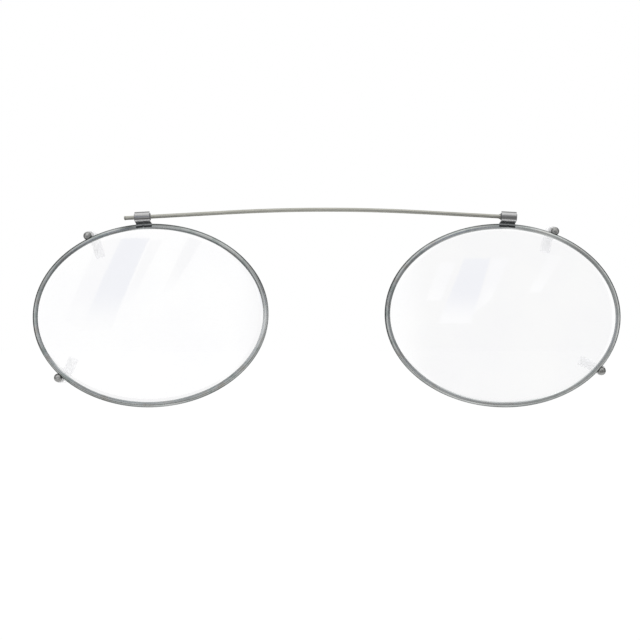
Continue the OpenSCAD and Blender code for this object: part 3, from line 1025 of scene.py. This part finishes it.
# %% Floor
FLOOR_DROP = 0.14
FLOOR_SIZE = 12.0
GLOW_SHARE = 0.85
GLOW_STRENGTH = 1.015


def seen_directly(tree):
    """1 for camera, mirror and lens rays, and 0 for the rays that carry light."""
    path = add_node(tree, "ShaderNodeLightPath").outputs
    seen = path["Is Camera Ray"]
    for name in ("Is Glossy Ray", "Is Transmission Ray"):
        more = {"operation": "MAXIMUM", "Value": seen, "Value_001": path[name]}
        seen = add_node(tree, "ShaderNodeMath", **more)
    return seen


def make_floor():
    bm = bmesh.new()
    bmesh.ops.create_grid(bm, x_segments=1, y_segments=1, size=FLOOR_SIZE / 2)
    bmesh.ops.translate(bm, verts=bm.verts, vec=(0, 0, -FLOOR_DROP))
    floor = add_object("white_floor", to_mesh(bm, "white_floor"))
    material = bpy.data.materials.new("matt_white_paper")
    tree = blank_tree(material)
    paper = add_node(tree, "ShaderNodeBsdfDiffuse", Color="ffffff")
    glow = add_node(tree, "ShaderNodeEmission", Strength=GLOW_STRENGTH)
    share = {"operation": "MULTIPLY", "Value": seen_directly(tree), "Value_001": GLOW_SHARE}
    share = add_node(tree, "ShaderNodeMath", **share)
    both = add_node(tree, "ShaderNodeMixShader", Fac=share, Shader=paper, Shader_001=glow)
    add_node(tree, "ShaderNodeOutputMaterial", Surface=both)
    floor.data.materials.append(material)
    print("floor", FLOOR_SIZE, "m wide,", FLOOR_DROP, "m below the bar")


make_floor()

# %% [markdown]
# ## World
# The world is white wherever the camera, a mirror finish or a lens sees it. As a light it is a
# little stronger in front of the part than behind it, which gives the round forms their shade.

# %% World
FRONT_LIGHT = 1.12
BACK_LIGHT = 0.85
world = bpy.data.worlds.new("white_studio")
bpy.context.scene.world = world
tree = blank_tree(world)
direction = add_node(tree, "ShaderNodeTexCoord").outputs["Generated"]
depth = add_node(tree, "ShaderNodeSeparateXYZ", Vector=direction).outputs["Y"]
reach = {"From_Min": -1.0, "From_Max": 1.0, "To_Min": FRONT_LIGHT, "To_Max": BACK_LIGHT}
strength = add_node(tree, "ShaderNodeMapRange", Value=depth, **reach)
light = add_node(tree, "ShaderNodeBackground", Color="ffffff", Strength=strength)
plain = add_node(tree, "ShaderNodeBackground", Color="ffffff", Strength=1.0)
seen = seen_directly(tree)
both = add_node(tree, "ShaderNodeMixShader", Fac=seen, Shader=light, Shader_001=plain)
add_node(tree, "ShaderNodeOutputWorld", Surface=both)
print("world light", FRONT_LIGHT, "in front,", BACK_LIGHT, "behind")

# %% [markdown]
# ## Softbox
# One softbox above and in front of the part lights the crowns, as a window or a lamp above a
# product table does. It is weak, because the world already lights everything.

# %% Softbox
SOFTBOX_PLACE = Vector((0.0, -0.2, 0.75))
SOFTBOX_AIM = Vector((0.0, 0.0, -LENS_DROP * MM))
SOFTBOX_SIZE = (1.2, 0.9)
SOFTBOX_POWER = 1.6
lamp_data = bpy.data.lights.new("top_softbox", "AREA")
lamp_data.shape = "RECTANGLE"
lamp_data.size, lamp_data.size_y = SOFTBOX_SIZE
lamp_data.energy = SOFTBOX_POWER
lamp = add_object("top_softbox", lamp_data)
lamp.location = SOFTBOX_PLACE
lamp.rotation_mode = "QUATERNION"
lamp.rotation_quaternion = (SOFTBOX_AIM - SOFTBOX_PLACE).to_track_quat("-Z", "Y")
print("softbox", SOFTBOX_SIZE, "m,", SOFTBOX_POWER, "W")

# %% [markdown]
# ## Cards for the lenses to mirror
# Clear lenses show only what they mirror. Slanted bars in front of them, like those of a window,
# give the faint blue streaks, and a pale wall behind the right-hand bars greys the right lens a
# little. Each is a flat card that glows and that only mirror rays see, so it adds no soft light
# and doesn't show itself.

# %% Window bars and wall
def card(name, corners, colour, low_colour=None):
    """A card that only mirror rays see. It may fade to another colour at its last two corners."""
    bm = bmesh.new()
    low = bm.verts.layers.float.new("low")
    verts = [bm.verts.new([c * MM for c in corner]) for corner in corners]
    for vert in verts[2:]:
        vert[low] = 1.0
    bm.faces.new(verts)
    made = add_object(name, to_mesh(bm, name))
    material = bpy.data.materials.new(name)
    tree = blank_tree(material)
    share = add_node(tree, "ShaderNodeAttribute", attribute_name="low").outputs["Fac"]
    stops = [(0.0, colour), (0.5, colour), (1.0, low_colour or colour)]
    tone = add_node(tree, "ShaderNodeValToRGB", Fac=share, stops=stops)
    glow = add_node(tree, "ShaderNodeEmission", Color=tone)
    add_node(tree, "ShaderNodeOutputMaterial", Surface=glow)
    made.data.materials.append(material)
    made.visible_camera = False
    made.visible_diffuse = False
    made.visible_transmission = False
    made.visible_shadow = False
    print("card", name, colour)


STREAK_Y = -60.0
# Corners in x and z: upper left, upper right, lower right and lower left, then the colour
STREAKS = {
    "left_bar": (((-53.6, 11.8), (-41.6, 11.6), (-57.5, -27.1), (-70.8, -27.2)), "1954a6"),
    "left_bar_edge": (((-62.9, 11.2), (-53.6, 11.8), (-69.9, -27.2), (-78.3, -23.0)), "d8d8e0"),
    "left_thin_bar": (((-41.0, 10.7), (-36.1, 10.7), (-48.2, -14.7), (-51.5, -14.7)), "cfcfd6"),
    "left_far_bar": (((-25.2, 12.5), (-19.3, 10.9), (-31.7, -10.6), (-35.8, -11.4)), "c4c4cc"),
    "right_bar": (((25.5, 2.9), (36.3, 2.8), (27.9, -24.2), (14.6, -24.2)), "1954a6"),
    "right_bar_edge": (((15.4, 1.4), (21.7, 1.2), (15.5, -14.7), (9.2, -14.6)), "dcdce2"),
    "right_thin_bar": (((37.1, 2.8), (44.2, 2.9), (36.1, -14.7), (29.5, -19.7)), "d4d4dc"),
    "right_far_bar": (((61.1, 4.5), (67.4, 4.7), (57.0, -11.3), (51.9, -11.4)), "d8d8d8"),
}
# The wall fades out towards the left, so that neither lens mirrors an edge of it
WALL_Y = -62.0
WALL = [(28, WALL_Y, 30), (100, WALL_Y, 30), (100, WALL_Y, -70), (28, WALL_Y, -70)]
WALL_FADE = [(28, WALL_Y, -70), (28, WALL_Y, 30), (-4, WALL_Y, 30), (-4, WALL_Y, -70)]
card("pale_wall", WALL, "bcbcbc")
card("pale_wall_fade", WALL_FADE, "bcbcbc", "ffffff")
for name, (corners, colour) in STREAKS.items():
    card(name, [(x, STREAK_Y, z) for x, z in corners], colour, "f0f0f4")

# %% [markdown]
# ## Flags for the metal to mirror
# Metal would look flat in an all-white room. Dim cards stand where it should mirror something
# darker: a table edge below the camera, a low flag behind the part and a flag at each side.

# %% Flags
FLAG_OUT = 350.0
FLAG_LOW = -130.0
TABLE_EDGE = [(-500, -280), (500, -280), (500, -100), (-500, -100)]
LOW_FLAG = [(-500, 90), (500, 90), (500, 200), (-500, 200)]
SIDE_FLAG = [(-90, -600), (-90, 600), (260, 600), (260, -600)]
card("table_edge", [(x, y, FLAG_LOW) for x, y in TABLE_EDGE], "98989a")
card("low_flag", [(x, y, FLAG_LOW) for x, y in LOW_FLAG], "76777a")
for name, side in SIDES.items():
    card(f"{name}_flag", [(side * FLAG_OUT, y, z) for y, z in SIDE_FLAG], "76777a")

# %% [markdown]
# ## Camera
# The camera faces the lenses squarely, as in the photograph. A small part is photographed from
# near: the claws behind the rims show a little outside them, which fits a camera about a third of
# a metre away. The focal length follows from that distance and from the width that the picture
# takes in.

# %% Camera
CAMERA_DISTANCE = 0.34
PICTURE_WIDTH = 0.128
SENSOR_WIDTH = 36.0
CAMERA_CLIP = 0.01
PICTURE_X = -1.335 * MM
PICTURE_Z = -22.06 * MM
camera_data = bpy.data.cameras.new("camera")
camera_data.sensor_width = SENSOR_WIDTH
camera_data.lens = SENSOR_WIDTH * CAMERA_DISTANCE / PICTURE_WIDTH
camera_data.clip_start = CAMERA_CLIP
camera = add_object("camera", camera_data)
camera.location = (PICTURE_X, -CAMERA_DISTANCE, PICTURE_Z)
camera.rotation_euler = (math.pi / 2, 0, 0)
bpy.context.scene.camera = camera
bpy.context.scene.view_settings.view_transform = "Standard"
print("camera lens", round(camera_data.lens, 1), "mm")
